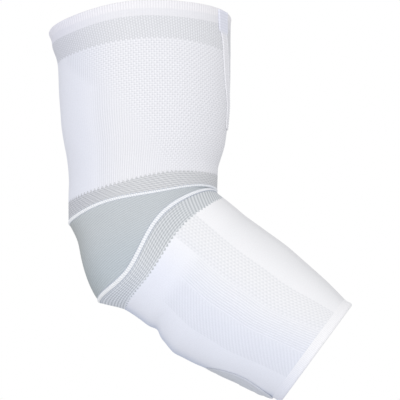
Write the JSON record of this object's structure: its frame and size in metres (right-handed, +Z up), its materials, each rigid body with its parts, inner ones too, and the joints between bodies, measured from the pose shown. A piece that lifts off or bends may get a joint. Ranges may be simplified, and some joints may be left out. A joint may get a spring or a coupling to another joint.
{
  "type": "elbow brace",
  "caption": "Knitted pull-on elbow brace held in its bent worn form, open at both ends, with stretch panel over the elbow, stitched pipings, plain cuffs and a raised forearm pad",
  "frame": {"origin": "inside the elbow, on the middle plane Y = 0, level with the wide part of the elbow panel; it is the seat mount that stands for the arm inside", "axes": "+Z up along the upper arm out of the wide opening, +X to the inside of the bend, where the forearm opening points, and Y across the brace, which is symmetrical about Y = 0 but for its front seam"},
  "size_m": [0.1876, 0.088, 0.2419],
  "materials": {
    "cuff_knit": "matt flat knit of pale yarn with a turned edge",
    "dotted_band_knit": "matt grey knit with staggered darker eyelets",
    "sleeve_knit": "matt white compression knit with fine wales and a small mesh",
    "elbow_band_knit": "matt grey elastic knit with slanted slots",
    "panel_knit": "smooth matt grey stretch knit with fine courses",
    "piping_stitch": "pale overlock stitching over a raised edge",
    "seam_tape": "flat pale tape with two raised lines",
    "pad_print": "soft raised silicone print, satin"
  },
  "bodies": {
    "root": {"upper_cuff": "cuff_knit", "upper_band": "dotted_band_knit", "upper_sleeve": "sleeve_knit", "upper_elbow_band": "elbow_band_knit", "upper_piping": "piping_stitch", "elbow_panel": "panel_knit", "lower_piping": "piping_stitch", "lower_elbow_band": "elbow_band_knit", "forearm_sleeve": "sleeve_knit", "forearm_cuff": "cuff_knit", "front_seam": "seam_tape", "forearm_pad": "pad_print"}
  },
  "joints": []
}
